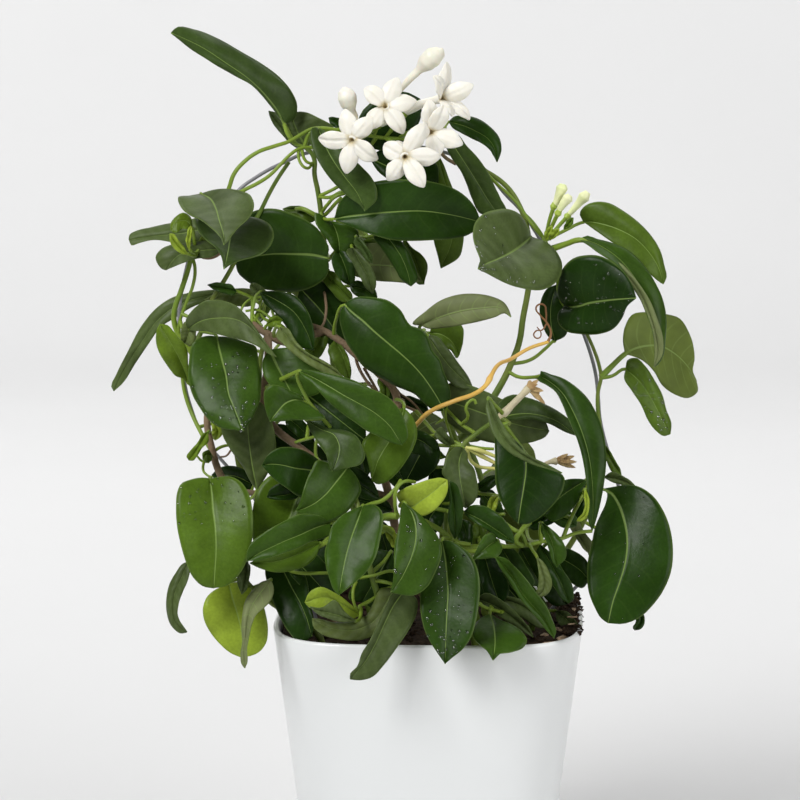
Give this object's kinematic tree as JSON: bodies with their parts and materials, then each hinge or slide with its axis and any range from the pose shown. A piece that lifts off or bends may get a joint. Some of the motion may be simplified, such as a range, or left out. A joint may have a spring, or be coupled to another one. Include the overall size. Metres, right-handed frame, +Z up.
{
  "type": "potted madagascar jasmine",
  "caption": "Twining evergreen house plant with leathery oval leaves and a cluster of waxy white star flowers, trained round a wire hoop in a tapering white square planter.",
  "frame": {"origin": "middle of the planter's flat base, on the surface it stands on", "axes": "+Z up, the plant's face and the hoop's front look along -Y, +X to the viewer's right"},
  "size_m": [0.323, 0.2393, 0.4875],
  "materials": {
    "pot_white": "gloss",
    "peat": "matte",
    "wire_grey": "satin",
    "leaf_green": "satin",
    "petal_ivory": "satin",
    "bud_green": "satin",
    "dry_tan": "matte",
    "runner_yellow": "satin",
    "shoot_yellow": "satin"
  },
  "bodies": {
    "root": {"planter": "pot_white", "soil": "peat", "support_hoop": "wire_grey", "vine_left": "leaf_green", "vine_low_left": "leaf_green", "vine_top": "leaf_green", "vine_right": "leaf_green", "vine_far_right": "leaf_green", "vine_centre": "leaf_green", "vine_low_centre": "leaf_green", "vine_low_right": "leaf_green", "vine_back_left": "leaf_green", "vine_back_right": "leaf_green", "flower_1": "petal_ivory", "flower_2": "petal_ivory", "flower_3": "petal_ivory", "flower_4": "petal_ivory", "flower_5": "petal_ivory", "flower_bud_large": "petal_ivory", "flower_bud_small": "petal_ivory", "side_bud_1": "bud_green", "side_bud_2": "bud_green", "side_bud_3": "bud_green", "dried_flower_1": "dry_tan", "dried_flower_2": "dry_tan", "yellow_runner": "runner_yellow", "yellow_shoots": "shoot_yellow"}
  },
  "joints": []
}
